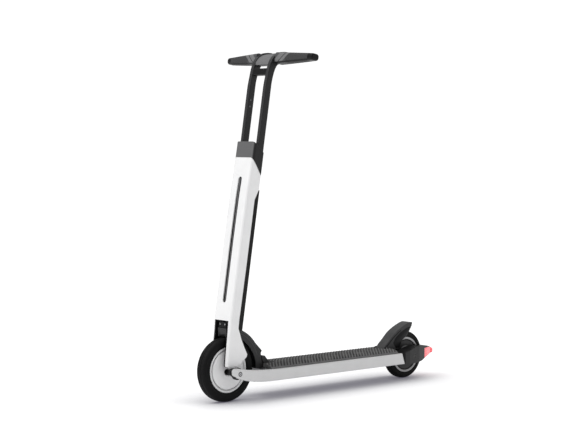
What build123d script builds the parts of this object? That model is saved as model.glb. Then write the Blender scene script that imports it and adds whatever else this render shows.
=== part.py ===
from build123d import *
import os
from math import cos, radians, sin

# Electric kick scooter with hub-centre steering: the deck's two arms carry a fixed cross axle inside the front
# hub, the stem and front wheel steer about a kingpin on that axle, and the stem folds back about the axle.
# Row frame: +X forward, +Y to the rider's left, +Z up, origin on the ground under the middle of the scooter.

# ---- driving dimensions (mm) -----------------------------------------------------------------
HALF_LENGTH = 479.5
WHEELBASE = 731
FRONT_R = 95
FRONT_TYRE_W = 37
REAR_R = 76
REAR_TYRE_W = 29
LEAN = 9.2                                  # stem's backward tilt, degrees
PIVOT_Z = 88.5                              # fold axle height, a little under the wheel's centre
ARM_INNER = 60
ARM_OUTER = 72
RAIL_BOTTOM = 56
RAIL_TOP = 90.4
AXLE_R = 6
RUN_GAP = 0.05                              # radial clearance of a running fit
STEM_HALF_W = 41.5
STEM_FRONT = 34.5
STEM_BACK = -14
LEG_INNER = 26
LEG_SPLIT = 31
STEM_OPEN_TOP = 163                         # the stem is open at the back below this height
TUBE_INNER = 30.3
TUBE_OUTER = 42.7
BAR_HALF = 195
BAR_CORE_R = 8
SEAM = 0.1                                  # gap between neighbouring covers

FRONT_X = HALF_LENGTH - FRONT_R
REAR_X = FRONT_X - WHEELBASE
LEAN_SIN = sin(radians(LEAN))
LEAN_COS = cos(radians(LEAN))

# ---- working planes --------------------------------------------------------------------------
# Deck parts are drawn from the front wheel's centre line: local x forward of it, local y the height.
side = Plane(origin=(FRONT_X, 0, 0), x_dir=(1, 0, 0), z_dir=(0, -1, 0))
wheel_f = Plane(origin=(FRONT_X, 0, FRONT_R), x_dir=(1, 0, 0), z_dir=(0, -1, 0))
wheel_r = Plane(origin=(REAR_X, 0, REAR_R), x_dir=(1, 0, 0), z_dir=(0, -1, 0))
pivot = Plane(origin=(FRONT_X, 0, PIVOT_Z), x_dir=(1, 0, 0), z_dir=(0, -1, 0))
ground = Plane(origin=(FRONT_X, 0, 0), x_dir=(1, 0, 0), z_dir=(0, 0, 1))
# Stem parts: u is square to the stem and forward, w runs up along it from the front wheel's centre.
stem_side = Plane(origin=(FRONT_X, 0, FRONT_R), x_dir=(LEAN_COS, 0, LEAN_SIN), z_dir=(0, -1, 0))
stem_front = Plane(origin=(FRONT_X, 0, FRONT_R), x_dir=(0, 1, 0), z_dir=(LEAN_COS, 0, LEAN_SIN))
stem_axis = Plane(origin=(FRONT_X, 0, PIVOT_Z), x_dir=(LEAN_COS, 0, LEAN_SIN), z_dir=(-LEAN_SIN, 0, LEAN_COS))
stem_level = Plane(origin=(FRONT_X, 0, FRONT_R), x_dir=(LEAN_COS, 0, LEAN_SIN), z_dir=(-LEAN_SIN, 0, LEAN_COS))
PIVOT_U = (PIVOT_Z - FRONT_R) * LEAN_SIN
PIVOT_W = (PIVOT_Z - FRONT_R) * LEAN_COS

os.makedirs("parts", exist_ok=True)


def save(part, label):
    """Write one finished piece under its own name."""
    part.label = label
    export_step(part, f"parts/{label}.step")


def slab(points, y_low, y_high, plane=side):
    """A flat-sided piece: the outline in the plane, filled from y_low to y_high."""
    with BuildPart() as piece:
        with BuildSketch(plane.offset(-y_high)):
            with BuildLine():
                Polyline(*points, close=True)
            make_face()
        extrude(amount=y_high - y_low)
    return piece.part


def disc(plane, radius, y_low, y_high, bore=0.0):
    """A round piece on a cross axis from y_low to y_high, with an optional bore."""
    with BuildPart() as piece:
        with BuildSketch(plane.offset(-y_high)):
            Circle(radius)
            if bore:
                Circle(bore, mode=Mode.SUBTRACT)
        extrude(amount=y_high - y_low)
    return piece.part


def both_sides(part):
    """The piece and its mirror image across the scooter's middle plane."""
    return Compound(children=[Compound(part.wrapped), Compound(mirror(part, Plane.XZ).wrapped)])


# ---- deck: side rails with the arms that reach the front axle ---------------------------------
def rail_outline():
    return [
        (-662, RAIL_TOP), (-150, RAIL_TOP), (-105, 91.5), (-70, 93.5), (-35, 97), (-12, 100.5), (4, 104.5),
        (16, 107), (26, 106), (31, 101), (31, 90), (24, 83.5), (8, 77), (-8, 71), (-30, 65), (-55, 60.5),
        (-85, 57.4), (-120, RAIL_BOTTOM), (-673, RAIL_BOTTOM),
    ]


RAIL_EDGE = 4.5
CAP_R = 7
CAP_DEPTH = 2
CHARGE_X = -230
CHARGE_Z = 74
CHARGE_R = 9
for name, sign in (("left", 1), ("right", -1)):
    with BuildPart() as rail:
        with BuildSketch(side.offset(-ARM_OUTER)):
            with BuildLine():
                Polyline(*rail_outline(), close=True)
            make_face()
        extrude(amount=ARM_OUTER - ARM_INNER)
        outer_face = rail.faces().sort_by(Axis.Y)[-1]
        fillet(outer_face.edges().filter_by(lambda e: e.length > 30), RAIL_EDGE)
        with Locations(Plane(origin=(FRONT_X, ARM_OUTER, PIVOT_Z), x_dir=(1, 0, 0), z_dir=(0, 1, 0))):
            CounterBoreHole(AXLE_R + RUN_GAP, CAP_R + RUN_GAP, CAP_DEPTH)
        if sign < 0:
            charge_hole = Plane(origin=(FRONT_X + CHARGE_X, ARM_OUTER, CHARGE_Z), x_dir=(1, 0, 0), z_dir=(0, 1, 0))
            with Locations(charge_hole):
                Hole(CHARGE_R)
    piece = rail.part if sign > 0 else mirror(rail.part, Plane.XZ)
    save(piece, f"rail_{name}")

save(both_sides(disc(pivot, CAP_R, ARM_OUTER - CAP_DEPTH, ARM_OUTER + 0.3)), "pivot_bolt_caps")

# ---- deck: cross-members, plate, mat, pan and what they hold ----------------------------------
DECK_FRONT = -112
DECK_REAR = -650
INSIDE = ARM_INNER - SEAM
PLATE_TOP = 90.2
PLATE_T = 3
PAN_T = 2.5
MEMBER_D = 14
plate_low = PLATE_TOP - PLATE_T
pan_low = RAIL_BOTTOM + 1

with BuildPart() as crossmembers:
    with BuildSketch(ground.offset(pan_low)):
        for front in (DECK_FRONT, DECK_REAR + MEMBER_D):
            with Locations((front - MEMBER_D / 2, 0)):
                Rectangle(MEMBER_D, 2 * INSIDE)
    extrude(amount=plate_low - SEAM - pan_low)
save(crossmembers.part, "crossmembers")

with BuildPart() as deck_plate:
    with BuildSketch(ground.offset(plate_low)):
        with Locations(((DECK_FRONT + DECK_REAR) / 2, 0)):
            Rectangle(DECK_FRONT - DECK_REAR, 2 * INSIDE)
    extrude(amount=PLATE_T)
save(deck_plate.part, "deck_plate")

bay_front = DECK_FRONT - MEMBER_D - SEAM
bay_rear = DECK_REAR + MEMBER_D + SEAM
with BuildPart() as deck_pan:
    with BuildSketch(ground.offset(pan_low)):
        with Locations(((bay_front + bay_rear) / 2, 0)):
            Rectangle(bay_front - bay_rear, 2 * INSIDE)
    extrude(amount=PAN_T)
    with Locations(Plane(origin=(FRONT_X + (bay_front + bay_rear) / 2, 0, pan_low), x_dir=(1, 0, 0),
                         z_dir=(0, 0, -1))):
        with GridLocations(bay_front - bay_rear - 40, 90, 2, 2):
            CounterSinkHole(2.1, 4.1)
save(deck_pan.part, "deck_pan")

with BuildPart() as pan_screws:
    with Locations(Plane(origin=(FRONT_X + (bay_front + bay_rear) / 2, 0, pan_low), x_dir=(1, 0, 0),
                         z_dir=(0, 0, 1))):
        with GridLocations(bay_front - bay_rear - 40, 90, 2, 2):
            Cone(4, 2, 1.9, align=(Align.CENTER, Align.CENTER, Align.MIN))
            Cylinder(2, 12, align=(Align.CENTER, Align.CENTER, Align.MIN))

pack_low = pan_low + PAN_T + 0.5
pack_high = plate_low - 0.5
save(slab([(-190, pack_low), (-190, pack_high), (-520, pack_high), (-520, pack_low)], -40, 54), "battery_pack")
save(slab([(-530, pack_low), (-530, pack_high - 4), (-612, pack_high - 4), (-612, pack_low)], -40, 40),
     "motor_controller")

# Rubber grip mat: nearly flat across the middle, rounded down to the rails at both sides, and notched at both
# ends round the fold pedal and the foot brake.
MAT_FRONT = -126
MAT_REAR = -650
MAT_HALF = 64
MAT_EDGE_Z = 92
MAT_CROWN_Z = 104.5
with BuildPart() as deck_mat:
    with BuildSketch(Plane(origin=(FRONT_X + MAT_REAR, 0, 0), x_dir=(0, 1, 0), z_dir=(1, 0, 0))):
        with BuildLine():
            foot = Polyline((-MAT_HALF, MAT_EDGE_Z), (-MAT_HALF, 91.2), (-59, 91.2), (-59, PLATE_TOP + SEAM),
                            (59, PLATE_TOP + SEAM), (59, 91.2), (MAT_HALF, 91.2), (MAT_HALF, MAT_EDGE_Z))
            Spline(foot @ 1, (58, 97.4), (44, 102), (0, MAT_CROWN_Z), (-44, 102), (-58, 97.4), foot @ 0)
        make_face()
    extrude(amount=MAT_FRONT - MAT_REAR)
    with BuildSketch(ground.offset(80)):
        with Locations((MAT_FRONT - 20, 0)):
            Rectangle(60, 48)
        with Locations((MAT_REAR + 14, 0)):
            Rectangle(30, 48)
    extrude(amount=40, mode=Mode.SUBTRACT)
save(deck_mat.part, "deck_mat")

# Charge socket in the right rail, with a rubber flap that turns on a barrel rolled along its top.
charge_plane = Plane(origin=(FRONT_X + CHARGE_X, 0, CHARGE_Z), x_dir=(1, 0, 0), z_dir=(0, -1, 0))
SOCKET_BORE = 4
FLAP_PLUG = 1
FLAP_BARREL = 14
flap_hinge = Plane(origin=(FRONT_X + CHARGE_X - FLAP_BARREL / 2, -ARM_OUTER - 1.3, CHARGE_Z + 11.5), x_dir=(0, 1, 0),
                   z_dir=(1, 0, 0))
save(disc(charge_plane, CHARGE_R - RUN_GAP, -ARM_OUTER + 0.5, -ARM_INNER + 6, SOCKET_BORE), "charge_socket")
with BuildPart() as charge_flap:
    with BuildSketch(charge_plane.offset(ARM_OUTER + 0.4)):
        RectangleRounded(24, 22, 6)
    extrude(amount=1.8)
    with BuildSketch(charge_plane.offset(ARM_OUTER - FLAP_PLUG)):
        Circle(SOCKET_BORE - 0.3)
    extrude(amount=FLAP_PLUG + 0.5)
    with BuildSketch(flap_hinge):
        Circle(1)
    extrude(amount=FLAP_BARREL)
save(charge_flap.part, "charge_flap")

# ---- front fender, fixed to the deck, arched over the tyre and up into the stem's cut-out ------
FENDER_HALF = 19
FENDER_SHELL = 3.5
FENDER_IN = 104                             # inner arc about the fold pivot, so the folding wheel clears it
FENDER_OUT = 123                            # outer arc about the wheel's centre
LIP_ANGLE = 5


def on_arc(radius, angle, centre_z):
    """Point at an angle behind the vertical, on an arc about a point over the front contact patch."""
    return (-radius * sin(radians(angle)), centre_z + radius * cos(radians(angle)))


def fender_arch(shrink, y_low, y_high):
    """The arch as a slab, drawn in from its outline by shrink."""
    with BuildPart() as arch:
        with BuildSketch(side.offset(-y_high)):
            with BuildLine():
                top = ThreePointArc(
                    on_arc(FENDER_OUT - shrink, -LIP_ANGLE, FRONT_R),
                    on_arc(FENDER_OUT - shrink, 25, FRONT_R),
                    on_arc(FENDER_OUT - shrink, 54, FRONT_R),
                )
                back = Polyline(top @ 1, (-125 + shrink, 142 - shrink), (-121 + shrink, 135), (-122 + shrink, 118),
                                (-131 + shrink, 96), (-131 + shrink, PLATE_TOP + 0.2))
                foot = Line(back @ 1, on_arc(FENDER_IN, 89, PIVOT_Z))
                inner = ThreePointArc(foot @ 1, on_arc(FENDER_IN, 42, PIVOT_Z),
                                      on_arc(FENDER_IN, -LIP_ANGLE, PIVOT_Z))
                Line(inner @ 1, top @ 0)
            make_face()
        extrude(amount=y_high - y_low)
    return arch.part


# Hollow under the top skin and between the side cheeks.
with BuildPart() as front_fender:
    add(fender_arch(0, -FENDER_HALF, FENDER_HALF))
    add(fender_arch(FENDER_SHELL, -FENDER_HALF + FENDER_SHELL, FENDER_HALF - FENDER_SHELL), mode=Mode.SUBTRACT)
save(front_fender.part, "front_fender")

# Nose cap screwed on the arch's front end; it shows in the stem's cut-out.
NOSE_HALF = 17
with BuildPart() as nose_cap:
    with BuildSketch(stem_side.offset(-NOSE_HALF)):
        with BuildLine():
            Polyline((-9, 124.5), (10, 124), (29.5, 121.6), (29.5, 137), (26, 139), (-9, 140), close=True)
        make_face()
    extrude(amount=2 * NOSE_HALF)
    with Locations(Plane(origin=stem_side.from_local_coords((29.5, 131, 0)), x_dir=(0, 1, 0),
                         z_dir=(LEAN_COS, 0, LEAN_SIN))):
        with GridLocations(22, 1, 2, 1):
            Hole(2.5, 6)
save(nose_cap.part, "fender_nose_cap")
with BuildPart() as nose_screws:
    with BuildSketch(stem_front.offset(24.2)):
        with Locations((0, 131)):
            with GridLocations(22, 1, 2, 1):
                Circle(2.45)
    extrude(amount=6)
save(Compound(children=[Compound(pan_screws.part.wrapped), Compound(nose_screws.part.wrapped)]), "deck_screws")

# Fold pedal on a pin at the foot of the arch.
PEDAL_HALF = 18
PEDAL_PIN = (-144, 97)
with BuildPart() as fold_pedal:
    with BuildSketch(side.offset(-PEDAL_HALF)):
        with BuildLine():
            Polyline((-124.5, 127), (-137, 125.5), (-144, 117.5), (-152, 108), (-155.5, 99), (-152, 93.5),
                     (-139, 93.5), (-135, 101), (-126, 118), close=True)
        make_face()
    extrude(amount=2 * PEDAL_HALF)
    fillet(fold_pedal.edges().filter_by(Axis.Y).group_by(Axis.Z)[-1], 1.2)
    with BuildSketch(side.offset(-PEDAL_HALF)):
        with Locations(PEDAL_PIN):
            Circle(2 + RUN_GAP)
    extrude(amount=2 * PEDAL_HALF, mode=Mode.SUBTRACT)
save(fold_pedal.part, "fold_pedal")
with BuildPart() as pedal_pin:
    with BuildSketch(side.offset(-PEDAL_HALF - 4)):
        with Locations(PEDAL_PIN):
            Circle(2)
    extrude(amount=2 * PEDAL_HALF + 8)
with BuildPart() as pedal_lugs:
    for y_high in (PEDAL_HALF + 4, -PEDAL_HALF - 0.4):
        with BuildSketch(side.offset(-y_high)):
            with BuildLine():
                Polyline((-137, PLATE_TOP + 0.2), (-138.5, 101), (-149.5, 101), (-151, PLATE_TOP + 0.2), close=True)
            make_face()
            with Locations(PEDAL_PIN):
                Circle(2, mode=Mode.SUBTRACT)
        extrude(amount=3.6)

# ---- tail housing: a fork round the rear wheel that meets in a pointed tail lamp ----------------
TAIL_TIP = FRONT_R - 2 * HALF_LENGTH
TAIL_INNER = 19
LENS_FRONT = -797
with BuildPart() as tail:
    with BuildSketch(ground.offset(40)):
        with BuildLine():
            Polyline((-660, 59.8), (-674.5, 71.5), (-700, 66), (-760, 49), (-812, 30), (-846, 14))
            ThreePointArc((-846, 14), (TAIL_TIP, 0), (-846, -14))
            Polyline((-846, -14), (-812, -30), (-760, -49), (-700, -66), (-674.5, -71.5), (-660, -59.8))
            Line((-660, -59.8), (-660, 59.8))
        make_face()
        with BuildLine():
            Polyline((-659, TAIL_INNER), (-800, TAIL_INNER))
            ThreePointArc((-800, TAIL_INNER), (-813, 0), (-800, -TAIL_INNER))
            Polyline((-800, -TAIL_INNER), (-659, -TAIL_INNER), (-659, TAIL_INNER))
        make_face(mode=Mode.SUBTRACT)
    extrude(amount=80)
    with BuildSketch(side.offset(-80)):
        with BuildLine():
            Polyline((-662.6, RAIL_TOP + 1.5), (-705, 97), (-738, 105), (-775, 102.5), (-815, 99), (-840, 93),
                     (-856, 85), (TAIL_TIP - 1, 78), (-852, 73), (-805, 63), (-778, 55), (-745, 52),
                     (-700, 53.5), (-674.2, RAIL_BOTTOM), (-673.3, RAIL_BOTTOM), close=True)
        make_face()
    extrude(amount=160, mode=Mode.INTERSECT)
    with BuildSketch(wheel_r.offset(-80)):
        Circle(AXLE_R)
    extrude(amount=160, mode=Mode.SUBTRACT)

lens_zone = Plane(origin=(FRONT_X + LENS_FRONT, 0, 93), x_dir=(1, 0, 0), z_dir=(0, 0, 1))
with BuildPart() as tail_lens:
    add(tail.part)
    with BuildSketch(lens_zone):
        with Locations((-50, 0)):
            Rectangle(100, 100)
    extrude(amount=-60, mode=Mode.INTERSECT)
save(tail_lens.part, "tail_lens")
with BuildPart() as tail_housing:
    add(tail.part)
    with BuildSketch(lens_zone.offset(SEAM)):
        with Locations((-50 + SEAM, 0)):
            Rectangle(100, 100)
    extrude(amount=-60, mode=Mode.SUBTRACT)
save(tail_housing.part, "tail_housing")

# ---- rear wheel with its hub motor -------------------------------------------------------------
CASE_R = 57
with BuildPart() as rear_tyre:
    with BuildSketch(wheel_r):
        Circle(REAR_R)
        Circle(CASE_R, mode=Mode.SUBTRACT)
    extrude(amount=REAR_TYRE_W / 2, both=True)
    fillet(rear_tyre.edges().filter_by(GeomType.CIRCLE).filter_by(lambda e: e.radius > REAR_R - 1), 9)
save(rear_tyre.part, "rear_tyre")

COVER_T = 3
case_half = REAR_TYRE_W / 2 - 0.5
BEARING_R = 13
with BuildPart() as motor_casing:
    with BuildSketch(wheel_r.offset(-case_half)):
        Circle(CASE_R)
    extrude(amount=2 * case_half)
    with BuildSketch(wheel_r.offset(-case_half + COVER_T)):
        Circle(CASE_R - 4)
    extrude(amount=2 * (case_half - COVER_T), mode=Mode.SUBTRACT)
    with BuildSketch(wheel_r.offset(-case_half)):
        Circle(BEARING_R)
    extrude(amount=2 * case_half, mode=Mode.SUBTRACT)
    for y_high in (case_half, -case_half + 1):
        with BuildSketch(wheel_r.offset(-y_high)):
            Circle(49)
            Circle(46, mode=Mode.SUBTRACT)
        extrude(amount=1, mode=Mode.SUBTRACT)
save(motor_casing.part, "motor_casing")
save(both_sides(disc(wheel_r, BEARING_R, case_half - COVER_T, case_half, AXLE_R + RUN_GAP)), "rear_bearings")
save(disc(wheel_r, CASE_R - 8, -case_half + COVER_T + 1, case_half - COVER_T - 1, AXLE_R), "motor_stator")
save(disc(wheel_r, AXLE_R, -44, 44), "rear_axle")

# ---- rear fender, pressed down by the foot as a brake ------------------------------------------
BRAKE_PIN = (-637, 104)
BRAKE_HALF = 18.5
BRAKE_INNER = 15.5
PAD_R = REAR_R + 6.4


def brake_outline(drop):
    """The fender's side outline, with the upper edge lowered by drop."""
    return [
        (-627.5 - drop, 99), (-637 - drop, 112 - drop), (-655 - drop, 128 - drop), (-676 - drop / 2, 147 - drop),
        (-702, 163 - drop), (-733, 176 - drop), (-748, 179.5 - drop), (-757 + drop, 178.5 - drop),
    ]


with BuildPart() as brake_fender:
    with BuildSketch(side.offset(-BRAKE_HALF)):
        with BuildLine():
            Spline(*brake_outline(0))
            Polyline((-757, 178.5), (-754, 167), (-744, 152), (-733, 137), (-712, 125), (-700, 99), (-627.5, 99))
        make_face()
    extrude(amount=2 * BRAKE_HALF)
    with BuildSketch(side.offset(-BRAKE_INNER)):
        with BuildLine():
            Spline(*brake_outline(3))
            Polyline((-754, 175.5), (-800, 160), (-800, 90), (-630.5, 90), (-630.5, 99))
        make_face()
    extrude(amount=2 * BRAKE_INNER, mode=Mode.SUBTRACT)
    with BuildSketch(side.offset(-BRAKE_HALF)):
        with Locations(BRAKE_PIN):
            Circle(2.5 + RUN_GAP)
    extrude(amount=2 * BRAKE_HALF, mode=Mode.SUBTRACT)
save(brake_fender.part, "brake_fender")
with BuildPart() as brake_pad:
    with BuildSketch(side.offset(-BRAKE_INNER + 1)):
        with BuildLine():
            Polyline((-702, 150), (-702, 159.5), (-738, 174), (-738, 150), close=True)
        make_face()
    extrude(amount=2 * BRAKE_INNER - 2)
    with BuildSketch(wheel_r.offset(-BRAKE_INNER)):
        Circle(PAD_R)
    extrude(amount=2 * BRAKE_INNER, mode=Mode.SUBTRACT)
save(brake_pad.part, "brake_pad")

with BuildPart() as brake_pin:
    with BuildSketch(side.offset(-BRAKE_HALF - 5)):
        with Locations(BRAKE_PIN):
            Circle(2.5)
    extrude(amount=2 * BRAKE_HALF + 10)
save(Compound(children=[Compound(pedal_pin.part.wrapped), Compound(brake_pin.part.wrapped)]), "hinge_pins")
with BuildPart() as brake_lugs:
    for y_high in (BRAKE_HALF + 5, -BRAKE_HALF - 0.4):
        with BuildSketch(side.offset(-y_high)):
            with BuildLine():
                Polyline((-625, PLATE_TOP + 0.1), (-631, 108), (-641, 108), (-643.8, PLATE_TOP + 0.1), close=True)
            make_face()
            with Locations(BRAKE_PIN):
                Circle(2.5, mode=Mode.SUBTRACT)
        extrude(amount=4.6)
save(Compound(children=[Compound(pedal_lugs.part.wrapped), Compound(brake_lugs.part.wrapped)]), "hinge_lugs")
with BuildPart() as brake_spring:
    with BuildSketch(Plane(origin=(FRONT_X - 645, 0, PLATE_TOP + 0.1), x_dir=(1, 0, 0), z_dir=(0, 0, 1))):
        Circle(4.4)
        Circle(3.2, mode=Mode.SUBTRACT)
    extrude(amount=17.5)
save(brake_spring.part, "brake_spring")

# ---- front wheel -------------------------------------------------------------------------------
RIM_R = 68
RING_IN = 60
BEARING_OUT = 52
CARRIER_R = 44
CARRIER_IN = 28
CARRIER_HALF = 11.9
with BuildPart() as front_tyre:
    with BuildSketch(wheel_f):
        Circle(FRONT_R)
        Circle(RIM_R, mode=Mode.SUBTRACT)
    extrude(amount=FRONT_TYRE_W / 2, both=True)
    fillet(front_tyre.edges().filter_by(GeomType.CIRCLE).filter_by(lambda e: e.radius > FRONT_R - 1), 11)
save(front_tyre.part, "front_tyre")
with BuildPart() as front_rim:
    with BuildSketch(wheel_f):
        Circle(RIM_R)
        Circle(RING_IN, mode=Mode.SUBTRACT)
    extrude(amount=15, both=True)
    with BuildSketch(wheel_f):
        Circle(RING_IN + 1)
        Circle(BEARING_OUT + RUN_GAP, mode=Mode.SUBTRACT)
    extrude(amount=7, both=True)
save(front_rim.part, "front_rim")
save(disc(wheel_f, BEARING_OUT, -7, 7, CARRIER_R), "front_bearing")

# ---- fixed cross inside the hub: axle, kingpin block, sleeves and the fold lock's discs ---------
KINGPIN_R = 5
KINGPIN_UP = 46
KINGPIN_DOWN = 34
BLOCK = 24
BLOCK_HALF = 9.5
SLEEVE_R = 8
LOCK_Y = 52
save(disc(pivot, AXLE_R, -ARM_OUTER + CAP_DEPTH + 0.1, ARM_OUTER - CAP_DEPTH - 0.1), "front_axle")
with BuildPart() as steering_cross:
    with BuildSketch(stem_axis.offset(-BLOCK / 2)):
        Rectangle(BLOCK, 2 * BLOCK_HALF)
    extrude(amount=BLOCK)
    with BuildSketch(stem_axis.offset(-KINGPIN_DOWN)):
        Circle(KINGPIN_R)
    extrude(amount=KINGPIN_DOWN + KINGPIN_UP)
    with BuildSketch(pivot.offset(-BLOCK)):
        Circle(AXLE_R)
    extrude(amount=2 * BLOCK, mode=Mode.SUBTRACT)
save(steering_cross.part, "steering_cross")
save(both_sides(disc(pivot, SLEEVE_R, BLOCK_HALF + SEAM, LOCK_Y - SEAM, AXLE_R)), "axle_sleeves")
with BuildPart() as lock_disc:
    with BuildSketch(pivot.offset(-ARM_INNER + 0.5)):
        Circle(18)
        Circle(AXLE_R, mode=Mode.SUBTRACT)
        with Locations((0, 18)):
            Rectangle(5, 8, mode=Mode.SUBTRACT)
    extrude(amount=ARM_INNER - 0.5 - LOCK_Y)
save(both_sides(lock_disc.part), "lock_discs")

# ---- hub carrier and covers, which steer with the stem -----------------------------------------
COVER_IN = 12
COVER_OUT = 15
COVER_R = 57
SLOT_L = 30
SLOT_H = 19
with BuildPart() as hub_carrier:
    with BuildSketch(wheel_f.offset(-CARRIER_HALF)):
        Circle(CARRIER_R)
        Circle(CARRIER_IN, mode=Mode.SUBTRACT)
    extrude(amount=2 * CARRIER_HALF)
    with BuildSketch(stem_axis.offset(-60)):
        Circle(KINGPIN_R + RUN_GAP)
    extrude(amount=120, mode=Mode.SUBTRACT)
save(hub_carrier.part, "hub_carrier")
with BuildPart() as hub_cover:
    with BuildSketch(stem_side.offset(-COVER_OUT)):
        Circle(COVER_R)
        with Locations((PIVOT_U, PIVOT_W)):
            SlotOverall(SLOT_L, SLOT_H, mode=Mode.SUBTRACT)
    extrude(amount=COVER_OUT - COVER_IN)
save(both_sides(hub_cover.part), "hub_covers")
save(both_sides(slab([(4, 16), (20, 16), (20, 38), (4, 40)], COVER_OUT + 0.02, LEG_INNER - 0.02, stem_side)),
     "hub_spacers")

# ---- fork legs, stem tube and covers -----------------------------------------------------------
def leg_outline(grow):
    """Side outline of the leg's foot from its rear top to its front, grown outwards a little."""
    return [
        (2 - grow, 124), (-15 - grow, 91.6), (-30 - grow, 69.3), (-42.5 - grow, 52), (-41.8 - grow, 44),
        (-28.8 - grow, 29.6 - grow), (-19, 20 - grow), (-12, 15.3 - grow), (6, 11.2 - grow), (20, 8 - grow),
        (25.5, 9 - grow), (27.2, 13), (30.4, 60), (31.6, 100),
    ]


LIP_W = 142
FORK_TOP = 236
fork_points = [(-11.1, FORK_TOP), (-11.1, STEM_OPEN_TOP - SEAM), (-13.9, STEM_OPEN_TOP - SEAM), (-13.9, 124)]
fork_points += leg_outline(1.2)[1:]
fork_points += [(34.3, LIP_W - SEAM), (30.8, LIP_W - SEAM), (30.8, FORK_TOP)]
save(both_sides(slab(fork_points, LEG_INNER, LEG_SPLIT - SEAM, stem_side)), "fork_legs")

TUBE_HALF = LEG_INNER - 0.1
STEM_TUBE_TOP = 640
STEM_WALL = 3
with BuildPart() as stem_tube:
    with BuildSketch(stem_level.offset(STEM_OPEN_TOP + 1)):
        with Locations((6.5, 0)):
            Rectangle(35, 2 * TUBE_HALF)
            Rectangle(35 - 2 * STEM_WALL, 2 * TUBE_HALF - 2 * STEM_WALL, mode=Mode.SUBTRACT)
    extrude(amount=STEM_TUBE_TOP - STEM_OPEN_TOP - 1)
save(stem_tube.part, "stem_tube")
with BuildPart() as stem_cable:
    with BuildSketch(stem_level.offset(STEM_OPEN_TOP + 3)):
        with Locations((6, 10)):
            Circle(3)
    extrude(amount=STEM_TUBE_TOP - STEM_OPEN_TOP - 5)
save(stem_cable.part, "stem_cable")

SHELL_WALL = 3
SHELL_R = 9
SLOT_LOW = 194
SLOT_HIGH = 566
SLOT_W = 16
with BuildPart() as front_shell:
    with BuildSketch(stem_side.offset(-STEM_HALF_W)):
        with BuildLine():
            shell_points = [(29.5, 623), (12.7, 605), (-10.5, 576), (-10.5, 534), (1, 502), (1.2, 300), (3, 150)]
            shell_points += leg_outline(0)
            shell_points += [(34.4, LIP_W), (STEM_FRONT, 380), (33.4, 500)]
            Polyline(*shell_points, close=True)
        make_face()
    extrude(amount=2 * STEM_HALF_W)
    long_edges = front_shell.edges().filter_by(lambda e: e.length > 39 and abs(abs(e.center().Y) - STEM_HALF_W) < 0.1)
    front_edges = long_edges.filter_by(lambda e: stem_side.to_local_coords(e.center()).X > 25)
    fillet(front_edges, SHELL_R)
    with BuildSketch(stem_side.offset(-STEM_HALF_W + SHELL_WALL)):
        with BuildLine():
            Polyline((31, 160), (31, 380), (30, 500), (26, 640), (-20, 640), (-20, 160), close=True)
        make_face()
    extrude(amount=2 * (STEM_HALF_W - SHELL_WALL), mode=Mode.SUBTRACT)
    with BuildSketch(stem_side.offset(-LEG_SPLIT)):
        with BuildLine():
            Polyline((-60, 0), (60, 0), (60, LIP_W), (31, LIP_W), (31, 160.1), (-60, 160.1), close=True)
        make_face()
    extrude(amount=2 * LEG_SPLIT, mode=Mode.SUBTRACT)
    with BuildSketch(stem_front.offset(28)):
        with Locations((0, (SLOT_LOW + SLOT_HIGH) / 2)):
            SlotOverall(SLOT_HIGH - SLOT_LOW, SLOT_W, rotation=90)
    extrude(amount=12, mode=Mode.SUBTRACT)
save(front_shell.part, "front_shell")

with BuildPart() as light_guide:
    with BuildSketch(stem_front.offset(24.05)):
        with Locations((0, (SLOT_LOW + SLOT_HIGH) / 2)):
            SlotOverall(SLOT_HIGH - SLOT_LOW - 1, SLOT_W - 1, rotation=90)
    extrude(amount=3.2)
save(light_guide.part, "light_guide")

COVER_WALL = 2.5
COVER_HALF = 40.5
TAIL_W = 118
with BuildPart() as stem_back_cover:
    with BuildSketch(stem_side.offset(-COVER_HALF)):
        with BuildLine():
            Polyline((STEM_BACK, TAIL_W), (STEM_BACK, 532), (-10.6, 532), (0.9, 500), (1.1, 300), (1.9, 205),
                     (2.9, 150), (2, 126), (-2, 116.6), close=True)
        make_face()
    extrude(amount=2 * COVER_HALF)
    with BuildSketch(stem_side.offset(-COVER_HALF + COVER_WALL)):
        with BuildLine():
            Polyline((STEM_BACK + COVER_WALL, STEM_OPEN_TOP), (STEM_BACK + COVER_WALL, 540), (10, 540),
                     (10, STEM_OPEN_TOP), close=True)
        make_face()
    extrude(amount=2 * (COVER_HALF - COVER_WALL), mode=Mode.SUBTRACT)
    with BuildSketch(stem_side.offset(-LEG_SPLIT - SEAM)):
        with BuildLine():
            Polyline((-30, 100), (20, 100), (20, STEM_OPEN_TOP + 0.01), (-30, STEM_OPEN_TOP + 0.01), close=True)
        make_face()
    extrude(amount=2 * (LEG_SPLIT + SEAM), mode=Mode.SUBTRACT)
save(stem_back_cover.part, "stem_back_cover")

# ---- collar and handle tubes -------------------------------------------------------------------
TENON_IN = TUBE_INNER + 2.1
TENON_OUT = TUBE_OUTER - 2.1
with BuildPart() as collar:
    with BuildSketch(stem_side.offset(-TUBE_OUTER)):
        with BuildLine():
            Polyline((28, 670.5), (28.6, 622.3), (12.7, 605.2), (-10.7, 576), (-10.5, 643), close=True)
        make_face()
    extrude(amount=2 * TUBE_OUTER)
    front = collar.edges().filter_by(
        lambda e: e.length > 40 and stem_side.to_local_coords(e.center()).X > 25
        and abs(abs(e.center().Y) - TUBE_OUTER) < 0.1)
    fillet(front, SHELL_R)
    with BuildSketch(stem_level.offset(560)):
        with Locations((6.5, 0)):
            Rectangle(35.2, 2 * TUBE_HALF + 0.2)
    extrude(amount=STEM_TUBE_TOP - 560 + 0.1, mode=Mode.SUBTRACT)
    with BuildSketch(stem_level.offset(624)):
        for sign in (1, -1):
            with Locations((2.25, sign * (TENON_IN + TENON_OUT) / 2)):
                Rectangle(16.4, TENON_OUT - TENON_IN + 0.2)
    extrude(amount=60, mode=Mode.SUBTRACT)
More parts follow.
